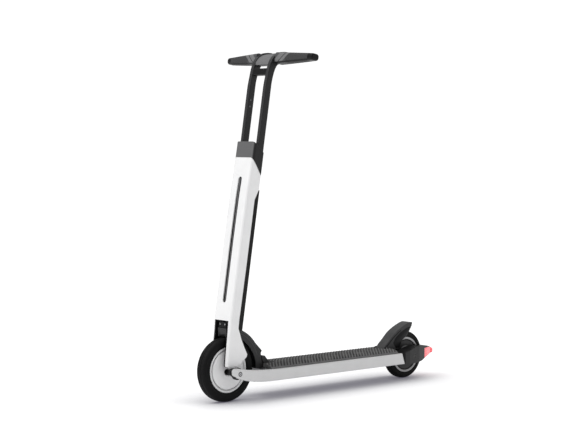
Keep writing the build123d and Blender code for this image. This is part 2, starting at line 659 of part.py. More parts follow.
save(collar.part, "stem_collar")
with BuildPart() as tube_tenons:
    with BuildSketch(stem_level.offset(624.5)):
        for sign in (1, -1):
            with Locations((2.25, sign * (TENON_IN + TENON_OUT) / 2)):
                Rectangle(16.2, TENON_OUT - TENON_IN)
    extrude(amount=75)
save(tube_tenons.part, "tube_tenons")

BAR_U = -29
BAR_W = 926.5
for name, y_low in (("left", TUBE_INNER), ("right", -TUBE_OUTER)):
    with BuildPart() as handle_tube:
        with BuildSketch(stem_side.offset(-y_low - TUBE_OUTER + TUBE_INNER)):
            with BuildLine():
                front_line = Line((12.5, 659.5), (12.5, 830))
                arch = Spline(front_line @ 1, (10.2, 866), (5.5, 903), (-5, 928), (-27, 945), (-57, 951),
                              tangents=((0, 1), (-1, 0.02)))
                tip = Line(arch @ 1, (-59, 944))
                belly = Spline(tip @ 1, (-36, 921), (-21.5, 906), (-10.5, 872), (-8, 838), tangents=((1, -0.6), (0, -1)))
                back_line = Line(belly @ 1, (-8, 644.9))
                Line(back_line @ 1, front_line @ 0)
            make_face()
            with Locations((BAR_U, BAR_W)):
                Circle(BAR_CORE_R + 0.02, mode=Mode.SUBTRACT)
        extrude(amount=TUBE_OUTER - TUBE_INNER)
        with BuildSketch(stem_level.offset(640)):
            with Locations((2.25, (2 * y_low + TUBE_OUTER - TUBE_INNER) / 2)):
                Rectangle(16.5, TUBE_OUTER - TUBE_INNER - 4)
        extrude(amount=200, mode=Mode.SUBTRACT)
    save(handle_tube.part, f"handle_tube_{name}")

save(slab([(-6, 872), (7.5, 872), (9, 874), (9, 890), (7, 892), (-6, 892)], -TUBE_INNER + SEAM, TUBE_INNER - SEAM,
          stem_side), "tube_crossbar")
with BuildPart() as tube_screw_pair:
    with BuildSketch(stem_side.offset(-TUBE_INNER + SEAM)):
        with Locations((4.4, 799), (4.4, 779)):
            Circle(3)
    extrude(amount=1)
save(both_sides(tube_screw_pair.part), "tube_screws")

# ---- handlebar ---------------------------------------------------------------------------------
save(disc(Plane(origin=stem_side.from_local_coords((BAR_U, BAR_W, 0)), x_dir=(1, 0, 0), z_dir=(0, -1, 0)),
          BAR_CORE_R, -188, 188), "bar_core")
ROOT_Y = TUBE_OUTER + SEAM
GRIP_Y = 85
CAP_Y = 176


def bar_half(y_low, y_high):
    """Part of the left half of the bar: a rounded wing, tapering outwards, bored for the core."""
    with BuildPart() as half:
        for y, u, width, height in ((ROOT_Y, -27, 38, 34), (100, -29.5, 36, 29), (BAR_HALF, -33, 29, 20)):
            with BuildSketch(stem_side.offset(-y)):
                with Locations((u, BAR_W)):
                    RectangleRounded(width, height, 8.5)
        loft()
        fillet(half.faces().sort_by(Axis.Y)[-1].edges(), 5)
        with BuildSketch(Plane.XZ.offset(-y_high)):
            with Locations((FRONT_X - 180, 1000)):
                Rectangle(200, 200)
        extrude(amount=y_high - y_low, mode=Mode.INTERSECT)
        with BuildSketch(stem_side.offset(-189)):
            with Locations((BAR_U, BAR_W)):
                Circle(BAR_CORE_R + 0.02)
        extrude(amount=200, mode=Mode.SUBTRACT)
    return half.part


for label, y_low, y_high in (("bar_roots", ROOT_Y, GRIP_Y), ("grips", GRIP_Y + SEAM, CAP_Y),
                             ("bar_ends", CAP_Y + SEAM, BAR_HALF)):
    save(both_sides(bar_half(y_low, y_high)), label)

CENTRE_HALF = TUBE_INNER - SEAM
BUTTON_U = -51
BUTTON_Y = 18
BUTTON_R = 5
panel_top = [(3, 905.5), (1.5, 913), (-3, 922), (-9, 929.5), (-17, 936), (-28, 941.5), (-42, 945.3), (-58, 947)]
panel_under = [(u - 0.9, w - 2) for u, w in panel_top]
button_hole = Plane(origin=stem_level.from_local_coords((BUTTON_U, BUTTON_Y, 900)), x_dir=(LEAN_COS, 0, LEAN_SIN),
                    z_dir=(-LEAN_SIN, 0, LEAN_COS))
with BuildPart() as centre_panel:
    with BuildSketch(stem_side.offset(-CENTRE_HALF)):
        with BuildLine():
            Polyline(*panel_top, *reversed(panel_under), close=True)
        make_face()
    extrude(amount=2 * CENTRE_HALF)
    with BuildSketch(button_hole.offset(30)):
        Circle(BUTTON_R + RUN_GAP)
    extrude(amount=40, mode=Mode.SUBTRACT)
save(centre_panel.part, "centre_panel")
with BuildPart() as centre_housing:
    with BuildSketch(stem_side.offset(-CENTRE_HALF)):
        with BuildLine():
            Polyline(*[(u, w - 0.1) for u, w in panel_under], (-61, 938), (-56, 927), (-44, 915), (-28, 907), (-12, 902),
                     close=True)
        make_face()
        with Locations((BAR_U, BAR_W)):
            Circle(BAR_CORE_R + 0.02, mode=Mode.SUBTRACT)
    extrude(amount=2 * CENTRE_HALF)
    with BuildSketch(button_hole.offset(37)):
        Circle(BUTTON_R + RUN_GAP)
    extrude(amount=40, mode=Mode.SUBTRACT)
save(centre_housing.part, "centre_housing")
with BuildPart() as power_button:
    with BuildSketch(button_hole.offset(39.5)):
        Circle(BUTTON_R)
    extrude(amount=8.5)
save(power_button.part, "power_button")
save(slab([(-31, 942.5), (-42, 945.5), (-56, 947), (-56.2, 948.2), (-42.2, 946.7), (-31.2, 943.7)], -26, 8, stem_side),
     "display_window")

# Thumb paddles behind the bar: throttle on the right, brake on the left.
PADDLE_PIN = (-52.5, 931)
with BuildPart() as paddle:
    with BuildSketch(stem_side.offset(-116)):
        with BuildLine():
            Polyline((-50, 934), (-55, 935), (-73, 929.5), (-74.5, 926.5), (-71, 924.5), (-56, 926), (-50, 928),
                     close=True)
        make_face()
        with Locations(PADDLE_PIN):
            Circle(1.5 + RUN_GAP, mode=Mode.SUBTRACT)
    extrude(amount=24)
save(paddle.part, "brake_paddle")
save(mirror(paddle.part, Plane.XZ), "throttle_paddle")
with BuildPart() as paddle_mount:
    for y_high in (119, 91.7):
        with BuildSketch(stem_side.offset(-y_high)):
            with BuildLine():
                Polyline((-44, 935), (-56, 935), (-56, 926), (-44, 920), close=True)
            make_face()
        extrude(amount=2.7)
    with BuildSketch(stem_side.offset(-118)):
        with Locations(PADDLE_PIN):
            Circle(1.5)
    extrude(amount=28)
grip_left = bar_half(GRIP_Y + SEAM, CAP_Y)
mount_left = paddle_mount.part - grip_left
save(both_sides(mount_left), "paddle_mounts")
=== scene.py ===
import math

import bpy
import bmesh
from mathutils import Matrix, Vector


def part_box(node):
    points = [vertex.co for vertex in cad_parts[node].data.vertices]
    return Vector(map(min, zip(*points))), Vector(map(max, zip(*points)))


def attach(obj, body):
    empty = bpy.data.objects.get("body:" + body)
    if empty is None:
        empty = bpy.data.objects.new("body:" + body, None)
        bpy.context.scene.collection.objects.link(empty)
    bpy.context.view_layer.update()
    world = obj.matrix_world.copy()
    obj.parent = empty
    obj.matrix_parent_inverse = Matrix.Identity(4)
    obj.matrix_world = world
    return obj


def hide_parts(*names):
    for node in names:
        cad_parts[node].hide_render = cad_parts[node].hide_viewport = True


bl_info = {
    "name": "Kick Scooter Looks",
    "version": (1, 0, 0),
    "blender": (4, 5, 0),
    "location": "View3D > Sidebar > Scooter",
    "description": "Tyres, rubber, paint and small fittings for a folding electric kick scooter",
    "category": "Object",
}

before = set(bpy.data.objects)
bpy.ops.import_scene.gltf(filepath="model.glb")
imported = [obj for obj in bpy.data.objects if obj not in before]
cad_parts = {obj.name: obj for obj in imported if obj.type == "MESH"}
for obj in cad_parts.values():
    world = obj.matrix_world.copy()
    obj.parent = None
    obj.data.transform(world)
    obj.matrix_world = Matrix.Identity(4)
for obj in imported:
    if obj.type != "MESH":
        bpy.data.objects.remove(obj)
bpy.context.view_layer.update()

LEAN = math.radians(9.2)
LEAN_SIN = math.sin(LEAN)
LEAN_COS = math.cos(LEAN)
CROSS = Vector((0, 1, 0))


def box_centre(node):
    low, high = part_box(node)
    return (low + high) / 2


FRONT_HUB = box_centre("front_tyre")
REAR_HUB = box_centre("rear_tyre")
FRONT_RADIUS = (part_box("front_tyre")[1] - FRONT_HUB).z
REAR_RADIUS = (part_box("rear_tyre")[1] - REAR_HUB).z
PIVOT = box_centre("front_axle")


def stem_point(u, w, y=0.0):
    """A point by the stem in millimetres: u forward and square to it, w along it from the front hub."""
    forward = Vector((LEAN_COS, 0, LEAN_SIN))
    along = Vector((-LEAN_SIN, 0, LEAN_COS))
    return FRONT_HUB + forward * (u / 1000) + along * (w / 1000) + CROSS * (y / 1000)


def deck_point(x, y, z):
    """A point on the deck in millimetres: x forward of the front hub, y to the left, z up from the ground."""
    return Vector((FRONT_HUB.x + x / 1000, y / 1000, z / 1000))


def mm(value):
    return value / 1000


# ---- what a user may change ------------------------------------------------------------------

def colour_setting(name, description, colour):
    return bpy.props.FloatVectorProperty(
        name=name, description=description, subtype="COLOR", size=3, min=0, max=1, default=colour)


def length_setting(name, description, value):
    return bpy.props.FloatProperty(name=name, description=description, unit="LENGTH", min=0, default=value)


class ScooterColours(bpy.types.PropertyGroup):
    white_paint: colour_setting("White paint", "Shell and wheel ring", (0.84, 0.84, 0.843))
    rail_paint: colour_setting("Rail paint", "Deck rails", (0.66, 0.66, 0.662))
    disc_paint: colour_setting("Hub disc", "Hub cover discs", (0.9, 0.9, 0.902))
    black_plastic: colour_setting("Black plastic", "Covers, fender and tail", (0.006, 0.006, 0.0065))
    tube_grey: colour_setting("Tube grey", "Handle tubes", (0.03, 0.03, 0.031))
    fender_grey: colour_setting("Fender grey", "Foot brake fender", (0.036, 0.036, 0.037))
    collar_grey: colour_setting("Collar grey", "Collar under the tubes", (0.12, 0.12, 0.122))
    grip_grey: colour_setting("Grip grey", "Handlebar grips", (0.042, 0.042, 0.043))
    root_grey: colour_setting("Root grey", "Bar roots beside the tubes", (0.07, 0.07, 0.072))
    stripe_grey: colour_setting("Stripe grey", "Inlaid stripes of the bar", (0.17, 0.17, 0.172))
    panel_grey: colour_setting("Panel grey", "Panel between the tubes", (0.16, 0.16, 0.163))
    mat_rubber: colour_setting("Mat rubber", "Ribs of the grip mat", (0.022, 0.022, 0.0225))
    mat_groove: colour_setting("Mat groove", "Mat between the ribs", (0.13, 0.13, 0.132))
    tyre_rubber: colour_setting("Tyre rubber", "Both tyres", (0.004, 0.004, 0.0042))
    lens_red: colour_setting("Lens red", "Tail lamp", (0.82, 0.05, 0.07))


class ScooterSizes(bpy.types.PropertyGroup):
    rib_pitch: length_setting("Rib pitch", "Distance from one mat rib to the next along the deck", 0.0118)
    rib_width: length_setting("Rib width", "Width of one mat rib", 0.0062)
    rib_height: length_setting("Rib height", "Height of a mat rib over the mat", 0.0012)
    tread_groove: length_setting("Tread groove", "Depth of the grooves round the tyres", 0.0016)
    rim_lip: length_setting("Rim lip", "How far the front wheel's ring stands proud", 0.0012)


def colours():
    return bpy.context.scene.scooter_colours


def sizes():
    return bpy.context.scene.scooter_sizes


# ---- shader node groups ----------------------------------------------------------------------

def new_group(name, inputs, outputs):
    """An empty shader node group with named sockets."""
    group = bpy.data.node_groups.new(name, "ShaderNodeTree")
    for label, kind, value in inputs:
        socket = group.interface.new_socket(label, in_out="INPUT", socket_type=kind)
        if value is not None:
            socket.default_value = value
    for label, kind in outputs:
        group.interface.new_socket(label, in_out="OUTPUT", socket_type=kind)
    return group, group.nodes.new("NodeGroupInput"), group.nodes.new("NodeGroupOutput")


def math_node(tree, operation, first, second=None, clamp=False):
    node = tree.nodes.new("ShaderNodeMath")
    node.operation = operation
    node.use_clamp = clamp
    for slot, value in enumerate((first, second)):
        if value is None:
            continue
        if isinstance(value, (int, float)):
            node.inputs[slot].default_value = value
        else:
            tree.links.new(value, node.inputs[slot])
    return node.outputs[0]


def ramp_node(tree, source, low, high):
    """A mask that runs from 0 at low to 1 at high."""
    node = tree.nodes.new("ShaderNodeMapRange")
    node.interpolation_type = "SMOOTHSTEP"
    node.inputs["From Min"].default_value = low
    node.inputs["From Max"].default_value = high
    tree.links.new(source, node.inputs["Value"])
    return node.outputs[0]


def noise_node(tree, vector, scale, detail=3.0, roughness=0.5):
    node = tree.nodes.new("ShaderNodeTexNoise")
    node.inputs["Detail"].default_value = detail
    node.inputs["Roughness"].default_value = roughness
    tree.links.new(vector, node.inputs["Vector"])
    if isinstance(scale, (int, float)):
        node.inputs["Scale"].default_value = scale
    else:
        tree.links.new(scale, node.inputs["Scale"])
    return node.outputs["Fac"]


def build_grain_group():
    """Fine moulded or sprayed surface: a height and an even mask of the same grain."""
    group, given, made = new_group(
        "Fine_Grain", [("Vector", "NodeSocketVector", None), ("Scale", "NodeSocketFloat", 900.0),
                       ("Softness", "NodeSocketFloat", 0.5)],
        [("Height", "NodeSocketFloat"), ("Mask", "NodeSocketFloat")])
    cells = group.nodes.new("ShaderNodeTexVoronoi")
    cells.feature = "SMOOTH_F1"
    group.links.new(given.outputs["Vector"], cells.inputs["Vector"])
    group.links.new(given.outputs["Scale"], cells.inputs["Scale"])
    group.links.new(given.outputs["Softness"], cells.inputs["Smoothness"])
    fine = noise_node(group, given.outputs["Vector"], given.outputs["Scale"], 2.0)
    both = math_node(group, "ADD", cells.outputs["Distance"], fine)
    group.links.new(math_node(group, "MULTIPLY", both, 0.5), made.inputs["Height"])
    group.links.new(ramp_node(group, fine, 0.35, 0.65), made.inputs["Mask"])
    return group


def build_wear_and_highlight_group():
    """Mask of outer edges, broken up by noise, where a finish is rubbed and where a painted highlight
    brightens the edge.
    """
    group, given, made = new_group(
        "Edge_Wear_And_Highlight", [("Vector", "NodeSocketVector", None), ("Breakup", "NodeSocketFloat", 220.0),
                      ("Radius", "NodeSocketFloat", 0.0009)],
        [("Mask", "NodeSocketFloat"), ("Normal", "NodeSocketVector")])
    rounded = group.nodes.new("ShaderNodeBevel")
    rounded.samples = 4
    group.links.new(given.outputs["Radius"], rounded.inputs["Radius"])
    surface = group.nodes.new("ShaderNodeNewGeometry")
    facing = group.nodes.new("ShaderNodeVectorMath")
    facing.operation = "DOT_PRODUCT"
    group.links.new(rounded.outputs["Normal"], facing.inputs[0])
    group.links.new(surface.outputs["Normal"], facing.inputs[1])
    turned = math_node(group, "SUBTRACT", 1.0, facing.outputs["Value"], clamp=True)
    edge = ramp_node(group, turned, 0.01, 0.16)
    patches = noise_node(group, given.outputs["Vector"], given.outputs["Breakup"], 4.0)
    broken = ramp_node(group, patches, 0.3, 0.62)
    group.links.new(math_node(group, "MULTIPLY", edge, broken), made.inputs["Mask"])
    group.links.new(rounded.outputs["Normal"], made.inputs["Normal"])
    return group


def build_dust_group():
    """Mask of the thin dust that settles on faces that look up."""
    group, given, made = new_group(
        "Settled_Dust", [("Vector", "NodeSocketVector", None), ("Amount", "NodeSocketFloat", 0.2)],
        [("Mask", "NodeSocketFloat")])
    surface = group.nodes.new("ShaderNodeNewGeometry")
    parts = group.nodes.new("ShaderNodeSeparateXYZ")
    group.links.new(surface.outputs["Normal"], parts.inputs[0])
    upward = ramp_node(group, parts.outputs["Z"], 0.1, 0.9)
    patchy = ramp_node(group, noise_node(group, given.outputs["Vector"], 38.0, 5.0, 0.6), 0.3, 0.75)
    covered = math_node(group, "MULTIPLY", upward, patchy)
    group.links.new(math_node(group, "MULTIPLY", covered, given.outputs["Amount"]), made.inputs["Mask"])
    return group


def build_brushed_group():
    """Fine parallel scratches along one axis: a height and a mask."""
    group, given, made = new_group(
        "Brushed_Lines", [("Vector", "NodeSocketVector", None), ("Along", "NodeSocketFloat", 12.0),
                          ("Across", "NodeSocketFloat", 1800.0)],
        [("Height", "NodeSocketFloat"), ("Mask", "NodeSocketFloat")])
    stretch = group.nodes.new("ShaderNodeCombineXYZ")
    group.links.new(given.outputs["Along"], stretch.inputs["X"])
    group.links.new(given.outputs["Across"], stretch.inputs["Y"])
    group.links.new(given.outputs["Across"], stretch.inputs["Z"])
    scaled = group.nodes.new("ShaderNodeVectorMath")
    scaled.operation = "MULTIPLY"
    group.links.new(given.outputs["Vector"], scaled.inputs[0])
    group.links.new(stretch.outputs[0], scaled.inputs[1])
    lines = noise_node(group, scaled.outputs[0], 1.0, 2.0)
    group.links.new(lines, made.inputs["Height"])
    group.links.new(ramp_node(group, lines, 0.3, 0.7), made.inputs["Mask"])
    return group


GROUP_BUILDERS = {
    "Fine_Grain": build_grain_group,
    "Edge_Wear_And_Highlight": build_wear_and_highlight_group,
    "Settled_Dust": build_dust_group,
    "Brushed_Lines": build_brushed_group,
}


def use_group(tree, name, vector, **values):
    node = tree.nodes.new("ShaderNodeGroup")
    node.node_tree = bpy.data.node_groups[name]
    tree.links.new(vector, node.inputs["Vector"])
    for label, value in values.items():
        node.inputs[label].default_value = value
    return node


# ---- materials -------------------------------------------------------------------------------

def mixed(tree, share, first, second):
    """A colour between two others, each a colour or a socket."""
    node = tree.nodes.new("ShaderNodeMix")
    node.data_type = "RGBA"
    tree.links.new(share, node.inputs["Factor"])
    for slot, value in ((6, first), (7, second)):
        if isinstance(value, bpy.types.NodeSocket):
            tree.links.new(value, node.inputs[slot])
        else:
            node.inputs[slot].default_value = (*value[:3], 1)
    return node.outputs[2]


def shade(colour, factor):
    return tuple(min(1.0, part * factor) for part in colour)


class Finish:
    """One material under construction: its tree, shader and the piece's own coordinates."""

    def __init__(self, name):
        self.material = bpy.data.materials.new(name)
        self.material.use_nodes = True
        self.tree = self.material.node_tree
        self.shader = self.tree.nodes["Principled BSDF"]
        place = self.tree.nodes.new("ShaderNodeTexCoord")
        self.where = place.outputs["Object"]

    def mapped(self, location=(0, 0, 0), rotation=(0, 0, 0), scale=(1, 1, 1)):
        node = self.tree.nodes.new("ShaderNodeMapping")
        node.inputs["Location"].default_value = location
        node.inputs["Rotation"].default_value = rotation
        node.inputs["Scale"].default_value = scale
        self.tree.links.new(self.where, node.inputs["Vector"])
        return node.outputs[0]

    def colour(self, socket):
        self.tree.links.new(socket, self.shader.inputs["Base Color"])

    def roughness(self, mask, low, high):
        node = self.tree.nodes.new("ShaderNodeMapRange")
        node.inputs["To Min"].default_value = low
        node.inputs["To Max"].default_value = high
        self.tree.links.new(mask, node.inputs["Value"])
        self.tree.links.new(node.outputs[0], self.shader.inputs["Roughness"])

    def relief(self, height, depth, normal=None):
        node = self.tree.nodes.new("ShaderNodeBump")
        node.inputs["Strength"].default_value = 1.0
        node.inputs["Distance"].default_value = depth
        self.tree.links.new(height, node.inputs["Height"])
        if normal is not None:
            self.tree.links.new(normal, node.inputs["Normal"])
        self.tree.links.new(node.outputs[0], self.shader.inputs["Normal"])

    def fixed(self, **values):
        for label, value in values.items():
            self.shader.inputs[label.replace("_", " ")].default_value = value


def grained(name, colour, rough=(0.35, 0.5), grain=1100.0, depth=0.00002, edge_wear_and_highlight=1.3, dust=0.06,
            tint=None, edge=0.0009, **fixed):
    """Painted or moulded surface: soft mottling, fine grain, paler edges that are partly rubbed wear and
    partly a painted highlight, and a little dust.
    """
    if max(colour) < DARK_FINISH:
        fixed.setdefault("Specular_IOR_Level", DARK_SPECULAR)
    finish = Finish(name)
    tree = finish.tree
    fine = use_group(tree, "Fine_Grain", finish.where, Scale=grain)
    wear_and_highlight = use_group(tree, "Edge_Wear_And_Highlight", finish.where, Radius=edge)
    settled = use_group(tree, "Settled_Dust", finish.where, Amount=dust)
    mottle = noise_node(tree, finish.where, 26.0, 4.0)
    base = mixed(tree, mottle, shade(colour, 0.94), shade(colour, 1.05))
    if tint is not None:
        base = tint(finish, base)
    # Edges go paler: partly rubbed wear, partly a painted highlight.
    base = mixed(tree, math_node(tree, "MULTIPLY", wear_and_highlight.outputs["Mask"], 0.55), base,
                 tuple(min(0.95, part * edge_wear_and_highlight + 0.01) for part in colour))
    base = mixed(tree, settled.outputs["Mask"], base, DUST_COLOUR)
    finish.colour(base)
    smudge = noise_node(tree, finish.where, 55.0, 5.0, 0.6)
    finish.roughness(smudge, *rough)
    finish.relief(fine.outputs["Height"], depth, wear_and_highlight.outputs["Normal"])
    finish.fixed(**fixed)
    return finish.material


def brushed(name, colour, rough=(0.25, 0.42), along=12.0, across=1800.0, depth=0.00001, turn=(0, 0, 0)):
    """Bare metal with fine lines in one direction."""
    finish = Finish(name)
    tree = finish.tree
    lined = finish.mapped(rotation=turn)
    lines = use_group(tree, "Brushed_Lines", lined, Along=along, Across=across)
    wear_and_highlight = use_group(tree, "Edge_Wear_And_Highlight", finish.where)
    base = mixed(tree, lines.outputs["Mask"], shade(colour, 0.86), shade(colour, 1.08))
    # Edges go paler: partly wear, partly a painted highlight.
    base = mixed(tree, math_node(tree, "MULTIPLY", wear_and_highlight.outputs["Mask"], 0.5), base, shade(colour, 1.4))
    finish.colour(base)
    finish.roughness(lines.outputs["Mask"], *rough)
    finish.relief(lines.outputs["Height"], depth, wear_and_highlight.outputs["Normal"])
    finish.fixed(Metallic=1.0)
    return finish.material


def rubber(name, colour, rough=(0.62, 0.8), grain=700.0, depth=0.00005, dust=0.12):
    return grained(name, colour, rough, grain, depth, edge_wear_and_highlight=2.2, dust=dust, Specular_IOR_Level=0.14)


def facing(tree):
    """The surface normal, split into its three parts."""
    surface = tree.nodes.new("ShaderNodeNewGeometry")
    parts = tree.nodes.new("ShaderNodeSeparateXYZ")
    tree.links.new(surface.outputs["Normal"], parts.inputs[0])
    return parts


# Painted shade for faces that look down, and for faces turned to the sides.
PAINTED_UNDER_SHADE = (0.006, 0.006, 0.0065)
PAINTED_SIDE_SHADE = (0.012, 0.012, 0.0125)
DUST_COLOUR = (0.42, 0.41, 0.39)
DARK_FINISH = 0.3
DARK_SPECULAR = 0.28
BAR_HEIGHT = stem_point(-29, 926.5).z
STRIPE_SLOPE = 1.15
DARK_LINE = (0.02, 0.02, 0.0205)
STRIPES = ((0.0765, 0.0068, None), (0.0672, 0.0013, DARK_LINE), (0.0545, 0.0105, None))


def stripes_and_under_shade(stripe):
    """Slanted stripes across each half of the bar, and painted shade: black where it faces down."""
    def tint(finish, base):
        tree = finish.tree
        parts = tree.nodes.new("ShaderNodeSeparateXYZ")
        tree.links.new(finish.where, parts.inputs[0])
        side = math_node(tree, "ABSOLUTE", parts.outputs["Y"])
        height = math_node(tree, "SUBTRACT", parts.outputs["Z"], BAR_HEIGHT)
        slanted = math_node(tree, "SUBTRACT", side, math_node(tree, "MULTIPLY", height, STRIPE_SLOPE))
        for middle, half, colour in STRIPES:
            away = math_node(tree, "ABSOLUTE", math_node(tree, "SUBTRACT", slanted, middle))
            inside = math_node(tree, "SUBTRACT", 1.0, ramp_node(tree, away, half, half + 0.0004))
            base = mixed(tree, inside, base, colour or stripe)
        # Painted shade: faces that look down are mixed to black.
        upward = ramp_node(tree, facing(tree).outputs["Z"], -0.5, -0.15)
        return mixed(tree, upward, PAINTED_UNDER_SHADE, base)
    return tint


def paint_side_shade(finish, base):
    """Painted shade: the front face stays as it is; faces turned to the sides are painted darker, as if in
    shade.
    """
    tree = finish.tree
    sideways = math_node(tree, "ABSOLUTE", facing(tree).outputs["Y"])
    return mixed(tree, ramp_node(tree, sideways, 0.35, 0.8), base, PAINTED_SIDE_SHADE)


def build_lens(name, colour):
    finish = Finish(name)
    tree = finish.tree
    ribs = tree.nodes.new("ShaderNodeTexWave")
    ribs.inputs["Scale"].default_value = 42.0
    ribs.bands_direction = "Z"
    tree.links.new(finish.where, ribs.inputs["Vector"])
    finish.colour(mixed(tree, ribs.outputs["Fac"], shade(colour, 0.75), colour))
    finish.roughness(noise_node(tree, finish.where, 90.0), 0.06, 0.16)
    finish.relief(ribs.outputs["Fac"], 0.0002)
    glow = mixed(tree, ribs.outputs["Fac"], (0.9, 0.05, 0.07), (1.0, 0.16, 0.18))
    tree.links.new(glow, finish.shader.inputs["Emission Color"])
    finish.fixed(Emission_Strength=0.4, Coat_Weight=0.6, Subsurface_Weight=0.0)
    return finish.material


def build_dark_glass(name):
    finish = Finish(name)
    tree = finish.tree
    smear = noise_node(tree, finish.where, 70.0, 4.0, 0.6)
    finish.colour(mixed(tree, smear, (0.006, 0.006, 0.007), (0.014, 0.014, 0.016)))
    finish.roughness(smear, 0.04, 0.14)
    finish.relief(noise_node(tree, finish.where, 300.0), 0.000004)
    finish.fixed(Coat_Weight=0.8)
    return finish.material


def build_guide(name):
    """Smoked light guide in the stem's slot, with a painted highlight: paler along one side where light
    leaves it.
    """
    finish = Finish(name)
    tree = finish.tree
    parts = tree.nodes.new("ShaderNodeSeparateXYZ")
    tree.links.new(finish.where, parts.inputs[0])
    # Painted highlight: the guide is mixed to pale grey towards its -Y side.
    painted_highlight_side = ramp_node(tree, math_node(tree, "MULTIPLY", parts.outputs["Y"], -1.0), 0.0015, 0.0072)
    smear = noise_node(tree, finish.where, 60.0, 4.0)
    base = mixed(tree, smear, (0.008, 0.008, 0.009), (0.016, 0.016, 0.018))
    finish.colour(mixed(tree, painted_highlight_side, base, (0.24, 0.24, 0.245)))
    finish.roughness(smear, 0.22, 0.38)
    finish.relief(noise_node(tree, finish.where, 500.0), 0.00001)
    return finish.material


def build_finishes():
    """Every material of the scooter by a plain name."""
    tint = colours()
    across = (0, 0, math.pi / 2)
    upright = (0, math.pi / 2 + LEAN, 0)
    made = {
        "shell_white": grained("shell_white", tint.white_paint, (0.26, 0.36), 1500.0, 0.000012, 1.04, 0.04,
                               Coat_Weight=0.35, Coat_Roughness=0.18),
        "ring_white": grained("ring_white", shade(tint.white_paint, 1.03), (0.3, 0.4), 1400.0, 0.000012,
                              1.04, 0.05, Coat_Weight=0.25),
        "rail_white": grained("rail_white", tint.rail_paint, (0.34, 0.46), 1300.0, 0.000016, 1.15, 0.05,
                              Coat_Weight=0.15),
        "disc_white": grained("disc_white", tint.disc_paint, (0.38, 0.5), 1200.0, 0.000016, 1.1, 0.05),
        "black_satin": grained("black_satin", tint.black_plastic, (0.34, 0.48), 1100.0, 0.00003, 2.0, 0.02,
                               Specular_IOR_Level=0.18),
        "black_gloss": grained("black_gloss", tint.black_plastic, (0.3, 0.4), 1400.0, 0.000006, 1.6, 0.01,
                               Specular_IOR_Level=0.16),
        "fender_black": grained("fender_black", shade(tint.tube_grey, 0.8), (0.4, 0.54), 900.0, 0.00004,
                                1.8, 0.06),
        "rib_grey": grained("rib_grey", shade(tint.grip_grey, 1.4), (0.4, 0.55), 900.0, 0.00004, 1.4, 0.04),
        # Tubes and collar get painted shade on their side faces.
        "tube_grey": grained("tube_grey", tint.tube_grey, (0.24, 0.34), 1500.0, 0.000014, 1.0, 0.02,
                             tint=paint_side_shade, edge=0.0045),
        "collar_grey": grained("collar_grey", tint.collar_grey, (0.36, 0.48), 1100.0, 0.00003, 1.5, 0.03,
                               tint=paint_side_shade, edge=0.0018),
        "fender_grey": grained("fender_grey", tint.fender_grey, (0.36, 0.5), 1000.0, 0.00003, 1.5, 0.05),
        "grip_grey": grained("grip_grey", tint.grip_grey, (0.55, 0.7), 620.0, 0.00007, 1.3, 0.03,
                             tint=stripes_and_under_shade(tint.stripe_grey)),
        "root_grey": grained("root_grey", tint.root_grey, (0.42, 0.55), 900.0, 0.00004, 1.3, 0.03,
                             tint=stripes_and_under_shade(tint.stripe_grey)),
        "panel_grey": grained("panel_grey", tint.panel_grey, (0.4, 0.52), 1000.0, 0.00003, 1.2, 0.03),
        "hub_ring_grey": brushed("hub_ring_grey", (0.34, 0.34, 0.345), (0.3, 0.45)),
        "motor_grey": grained("motor_grey", shade(tint.fender_grey, 1.1), (0.3, 0.42), 1300.0, 0.00002,
                              1.7, 0.06, Metallic=0.7),
        "mat_base": rubber("mat_base", tint.mat_groove, grain=520.0, depth=0.00007),
        "mat_rib": rubber("mat_rib", tint.mat_rubber, grain=600.0, depth=0.00006, dust=0.16),
        "tyre_rubber": rubber("tyre_rubber", tint.tyre_rubber, (0.5, 0.68), 650.0, 0.00006, 0.02),
        "soft_rubber": rubber("soft_rubber", tint.mat_rubber, (0.6, 0.75), 800.0, 0.00004, 0.05),
        "steel": brushed("steel", (0.52, 0.52, 0.53), turn=across),
        "dark_steel": brushed("dark_steel", (0.11, 0.11, 0.115), (0.3, 0.45)),
        "aluminium": brushed("aluminium", (0.56, 0.565, 0.575), (0.3, 0.46), 10.0, 1500.0),
        "stem_metal": brushed("stem_metal", (0.045, 0.045, 0.047), (0.36, 0.5), 10.0, 1300.0, turn=upright),
        "red_lens": build_lens("red_lens", tint.lens_red),
        "dark_glass": build_dark_glass("dark_glass"),
        "light_guide": build_guide("light_guide"),
    }
    return made


